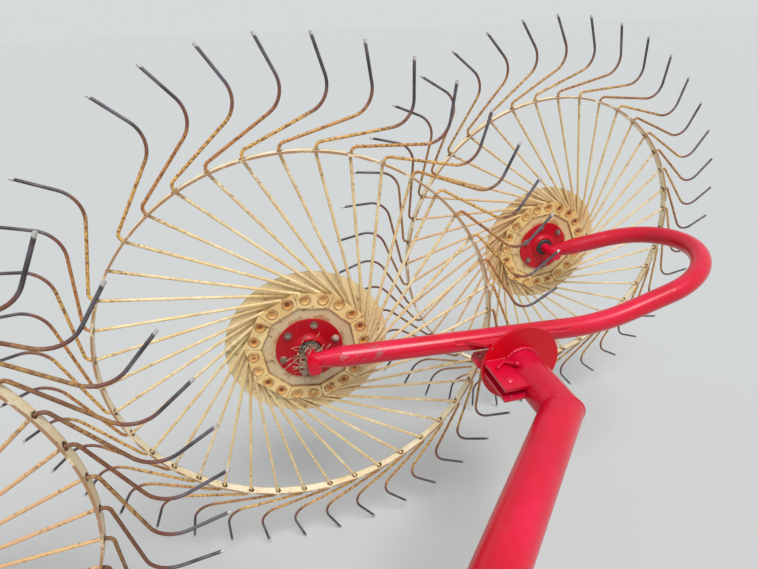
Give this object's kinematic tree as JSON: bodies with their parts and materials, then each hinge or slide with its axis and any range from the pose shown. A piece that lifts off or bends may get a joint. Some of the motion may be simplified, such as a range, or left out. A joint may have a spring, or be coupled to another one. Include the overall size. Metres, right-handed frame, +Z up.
{
  "type": "finger-wheel hay rake",
  "caption": "Three-point-mounted finger-wheel hay rake: spring-tined wheels in echelon on bent-tube rockers, carried by swinging arms from a hitch frame on parking stands.",
  "frame": {"origin": "centre of the top link's hole in the mast, in the middle plane of the hitch", "axes": "+X to the right and +Y forwards, seen by the driver of the tractor that carries the rake; +Z up; the row of wheels trails behind the hitch from right front to left rear"},
  "size_m": [2.6467, 3.7703, 1.4026],
  "materials": {
    "tine_wire": "worn cream paint over rusting spring steel",
    "hoop_cream": "chipped cream paint",
    "wheel_cream": "cream paint with rust",
    "clamp_cream": "cream paint with rusty cups",
    "hub_red": "deep red paint",
    "frame_red": "glossy red paint",
    "bare_steel": "bare, slightly rusty steel"
  },
  "bodies": {
    "frame": {"cross_tube": "frame_red", "hinge_plates": "frame_red", "hinge_pins": "bare_steel", "mast": "frame_red", "mast_brace": "frame_red", "hitch_plates": "frame_red", "hitch_pins": "bare_steel", "stand_sleeves": "frame_red"},
    "swing_arm_a": {"arm_a": "frame_red", "pivot_disc_a": "hub_red", "lock_bracket_a": "frame_red", "rocker_pin_a": "bare_steel"},
    "rocker_a": {"rocker_a": "frame_red", "axles_a": "frame_red"},
    "swing_arm_b": {"arm_b": "frame_red", "pivot_disc_b": "hub_red", "lock_bracket_b": "frame_red", "rocker_pin_b": "bare_steel"},
    "rocker_b": {"rocker_b": "frame_red", "axles_b": "frame_red"},
    "wheel_1": {"tines_1": "tine_wire", "hoop_1": "hoop_cream", "wheel_disc_1": "wheel_cream", "clamp_plates_1": "clamp_cream", "hub_1": "hub_red"},
    "wheel_2": {"tines_2": "tine_wire", "hoop_2": "hoop_cream", "wheel_disc_2": "wheel_cream", "clamp_plates_2": "clamp_cream", "hub_2": "hub_red"},
    "wheel_3": {"tines_3": "tine_wire", "hoop_3": "hoop_cream", "wheel_disc_3": "wheel_cream", "clamp_plates_3": "clamp_cream", "hub_3": "hub_red"},
    "wheel_4": {"tines_4": "tine_wire", "hoop_4": "hoop_cream", "wheel_disc_4": "wheel_cream", "clamp_plates_4": "clamp_cream", "hub_4": "hub_red"},
    "stand_left": {"stand_left": "frame_red"},
    "stand_right": {"stand_right": "frame_red"}
  },
  "joints": [
    {"name": "arm_a_swing", "type": "hinge", "parent": "frame", "child": "swing_arm_a", "pos_m": [-0.37583, -0.25, -0.312], "axis": [0, 0, 1], "range_deg": [-10, 5]},
    {"name": "arm_b_swing", "type": "hinge", "parent": "frame", "child": "swing_arm_b", "pos_m": [0.37583, -0.25, -0.312], "axis": [0, 0, 1], "range_deg": [-5, 5]},
    {"name": "rocker_a_rock", "type": "hinge", "parent": "swing_arm_a", "child": "rocker_a", "pos_m": [-0.62466, -2.70522, -0.312], "axis": [0.5736, -0.8192, 0], "range_deg": [-12, 12]},
    {"name": "rocker_b_rock", "type": "hinge", "parent": "swing_arm_b", "child": "rocker_b", "pos_m": [0.39244, -1.11897, -0.312], "axis": [0.5736, -0.8192, 0], "range_deg": [-12, 12]},
    {"name": "wheel_1_spin", "type": "hinge", "parent": "rocker_a", "child": "wheel_1", "pos_m": [-0.15904, -2.51592, -0.26], "axis": [0.5736, -0.8192, 0], "continuous": true},
    {"name": "wheel_2_spin", "type": "hinge", "parent": "rocker_a", "child": "wheel_2", "pos_m": [-0.63785, -3.30531, -0.26], "axis": [0.5736, -0.8192, 0], "continuous": true},
    {"name": "wheel_3_spin", "type": "hinge", "parent": "rocker_b", "child": "wheel_3", "pos_m": [0.37925, -1.71906, -0.26], "axis": [0.5736, -0.8192, 0], "continuous": true},
    {"name": "wheel_4_spin", "type": "hinge", "parent": "rocker_b", "child": "wheel_4", "pos_m": [0.85807, -0.92966, -0.26], "axis": [0.5736, -0.8192, 0], "continuous": true},
    {"name": "stand_left_slide", "type": "slide", "parent": "frame", "child": "stand_left", "axis": [0, 0, 1], "range_m": [0, 0.3]},
    {"name": "stand_right_slide", "type": "slide", "parent": "frame", "child": "stand_right", "axis": [0, 0, 1], "range_m": [0, 0.3]}
  ]
}
